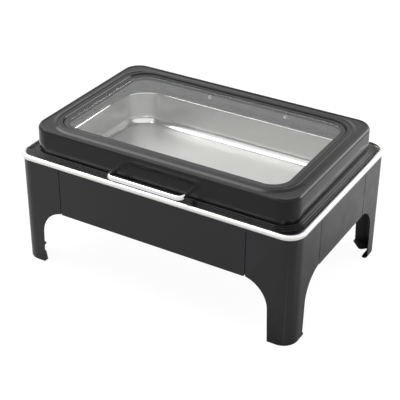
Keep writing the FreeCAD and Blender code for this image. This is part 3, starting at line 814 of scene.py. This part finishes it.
def nut_piece(height):
    """A plain nut from level 0 upwards, with its bore's edges eased."""
    rings = [(mouth_depth, circle(bore_radius)), (0.0, circle(mouth_radius))]
    rings += chamfered_hex(0.0, height)
    rings += [(height, circle(mouth_radius)), (height - mouth_depth, circle(bore_radius))]
    return turned_piece("nut", rings, hollow=True)


def cap_nut_piece(height, total):
    """A cap nut from level 0 upwards: a blind bore, a chamfered hexagon and a dome."""
    bore_end, dome_radius = 3.0, 3.65
    dome_steps, step_angle = 8, 11.0
    last_angle = math.radians(dome_steps * step_angle)
    rings = [(bore_end, circle(core_radius)), (mouth_depth, circle(bore_radius))]
    rings += [(0.0, circle(mouth_radius))] + chamfered_hex(0.0, height)
    rings.append((height, circle(dome_radius)))
    for step in range(1, dome_steps + 1):
        angle = math.radians(step_angle * step)
        level = height + (total - height) * math.sin(angle) / math.sin(last_angle)
        rings.append((level, circle(dome_radius * math.cos(angle))))
    return turned_piece("cap_nut", rings)


def fastener_tree():
    """One piece set on every point of a mesh and turned by the point's own angles."""
    tree, start, stop = node_tree("fasteners", [("Piece", "Object"), ("Finish", "Material")])
    add = tree.nodes.new
    piece = add("GeometryNodeObjectInfo")
    angles = add("GeometryNodeInputNamedAttribute")
    angles.data_type = "FLOAT_VECTOR"
    angles.inputs["Name"].default_value = "turn"
    turned = add("FunctionNodeEulerToRotation")
    copies = add("GeometryNodeInstanceOnPoints")
    whole = add("GeometryNodeRealizeInstances")
    paint = add("GeometryNodeSetMaterial")
    chain(
        tree,
        (start.outputs["Piece"], piece.inputs["Object"]),
        (start.outputs["Geometry"], copies.inputs["Points"]),
        (piece.outputs["Geometry"], copies.inputs["Instance"]),
        (angles.outputs["Attribute"], turned.inputs["Euler"]),
        (turned.outputs["Rotation"], copies.inputs["Rotation"]),
        (copies.outputs["Instances"], whole.inputs["Geometry"]),
        (whole.outputs["Geometry"], paint.inputs["Geometry"]),
        (start.outputs["Finish"], paint.inputs["Material"]),
        (paint.outputs["Geometry"], stop.inputs["Geometry"]),
    )
    return tree


def solid_boxes(node):
    """Lowest and highest corner of every separate solid of a node."""
    shape = merged_shape(node)
    left = set(shape.verts)
    boxes = []
    while left:
        wave = [left.pop()]
        solid = list(wave)
        while wave:
            near = {edge.other_vert(vert) for vert in wave for edge in vert.link_edges} & left
            left -= near
            wave = list(near)
            solid += wave
        low = Vector([min(vert.co[axis] for vert in solid) for axis in range(3)])
        high = Vector([max(vert.co[axis] for vert in solid) for axis in range(3)])
        boxes.append((low, high))
    shape.free()
    return sorted(boxes, key=lambda box: tuple(box[0]))


def fasten(node, body, mesh, material, headed):
    """The node's fasteners, each where its solid is: headed ones have their head at the rear."""
    quarter = math.radians(90)
    places, turns = [], []
    for low, high in solid_boxes(node):
        middle = (low + high) / 2
        size = high - low
        if size.x < size.y and not headed:
            # A nut on a stud of a side panel
            places.append((low.x, middle.y, middle.z))
            turns.append((quarter, 0.0, quarter))
            continue
        seat = high.y - head_height * millimetre if headed else high.y
        places.append((middle.x, seat, middle.z))
        turns.append((quarter, 0.0, 0.0))
    points = bpy.data.meshes.new(node + "_places")
    points.from_pydata(places, [], [])
    angles = points.attributes.new("turn", "FLOAT_VECTOR", "POINT")
    angles.data.foreach_set("vector", [part for turn in turns for part in turn])
    pattern = add_object(node + "_pattern", mesh)
    made = grow(node + "_set", points, fastener_tree(), {"Piece": pattern, "Finish": material})
    bpy.data.objects.remove(pattern)
    soften(made, 32.0)
    put_in(node + "_set", made, body, [node], material)


nut_height = 4.0
cap_nut_height = 7.2
fasten("stand_nuts", "stand", nut_piece(nut_height), zinc, headed=False)
bolts = (("bracket_bolts", "stand", 10.0), ("arm_bolts", "lid", 9.0), ("handle_bolts", "lid", 10.0))
for node, body, length in bolts:
    fasten(node, body, bolt_piece(length), zinc, headed=True)
cap_nut = cap_nut_piece(nut_height, cap_nut_height)
cap_plate = hinge_steel_finish(
    "cap_nut_plate", dark=(0.86, 0.865, 0.88), light=(0.92, 0.925, 0.94), rough=0.3
)
fasten("arm_cap_nuts", "lid", cap_nut, cap_plate, headed=False)

# Floor and light
# A pale floor and a white room, with one large lamp high on the left and one low behind on the
# right. The floor looks white to the eye, and the room to the eye and in gloss.
floor_reach = 6.0
floor_drop = 0.0003
floor_white = 1.1
floor_share = 0.85
room_light = 0.36
room_white = 1.0
floor_mesh = bpy.data.meshes.new("floor")
signs = ((-1, -1), (1, -1), (1, 1), (-1, 1))
floor_corners = [(x * floor_reach, y * floor_reach, 0) for x, y in signs]
floor_mesh.from_pydata(floor_corners, [], [(0, 1, 2, 3)])
floor = add_object("floor", floor_mesh)
floor.location.z = -floor_drop


def seen_by(nodes, links, rays):
    """1 where a ray is of one of the named kinds, and 0 elsewhere."""
    path = nodes.new("ShaderNodeLightPath")
    total = path.outputs[rays[0]]
    for name in rays[1:]:
        joined = nodes.new("ShaderNodeMath")
        joined.operation = "MAXIMUM"
        links.new(total, joined.inputs[0])
        links.new(path.outputs[name], joined.inputs[1])
        total = joined.outputs["Value"]
    return total


floor_paint = bpy.data.materials.new("pale_floor")
floor_paint.use_nodes = True
nodes, links = floor_paint.node_tree.nodes, floor_paint.node_tree.links
nodes.clear()
matt = nodes.new("ShaderNodeBsdfDiffuse")
matt.inputs["Color"].default_value = (0.8, 0.8, 0.8, 1.0)
glow = nodes.new("ShaderNodeEmission")
glow.inputs["Strength"].default_value = floor_white
mixed = nodes.new("ShaderNodeMixShader")
share = nodes.new("ShaderNodeMath")
share.operation = "MULTIPLY"
share.inputs[1].default_value = floor_share
out = nodes.new("ShaderNodeOutputMaterial")
links.new(seen_by(nodes, links, ("Is Camera Ray",)), share.inputs[0])
links.new(share.outputs["Value"], mixed.inputs["Fac"])
links.new(matt.outputs["BSDF"], mixed.inputs[1])
links.new(glow.outputs["Emission"], mixed.inputs[2])
links.new(mixed.outputs["Shader"], out.inputs["Surface"])
floor_mesh.materials.append(floor_paint)

room = bpy.data.worlds.new("white_room")
bpy.context.scene.world = room
room.use_nodes = True
nodes, links = room.node_tree.nodes, room.node_tree.links
nodes.clear()
air = nodes.new("ShaderNodeBackground")
light_level = nodes.new("ShaderNodeMapRange")
light_level.inputs["To Min"].default_value = room_light
light_level.inputs["To Max"].default_value = room_white
air.inputs["Color"].default_value = (1.0, 1.0, 1.0, 1.0)
out = nodes.new("ShaderNodeOutputWorld")
eye_and_gloss = seen_by(nodes, links, ("Is Camera Ray", "Is Glossy Ray", "Is Transmission Ray"))
links.new(eye_and_gloss, light_level.inputs["Value"])
links.new(light_level.outputs["Result"], air.inputs["Strength"])
links.new(air.outputs["Background"], out.inputs["Surface"])


def softbox(name, place, aim, size, power):
    """A large area lamp that faces a point."""
    lamp = bpy.data.lights.new(name, "AREA")
    lamp.shape = "RECTANGLE"
    lamp.size, lamp.size_y = size
    lamp.energy = power
    holder = add_object(name, lamp)
    holder.location = place
    holder.rotation_euler = (Vector(aim) - Vector(place)).to_track_quat("-Z", "Y").to_euler()
    holder.visible_camera = False


softbox("key_left", place=(-1.2, -0.05, 2.08), aim=(0, 0, 0.15), size=(2.0, 1.8), power=52.0)
softbox("rear_right", place=(1.1, 1.5, 0.9), aim=(0.35, 0.5, 0.0), size=(1.5, 1.1), power=27.0)

bpy.context.scene.view_settings.view_transform = "Standard"
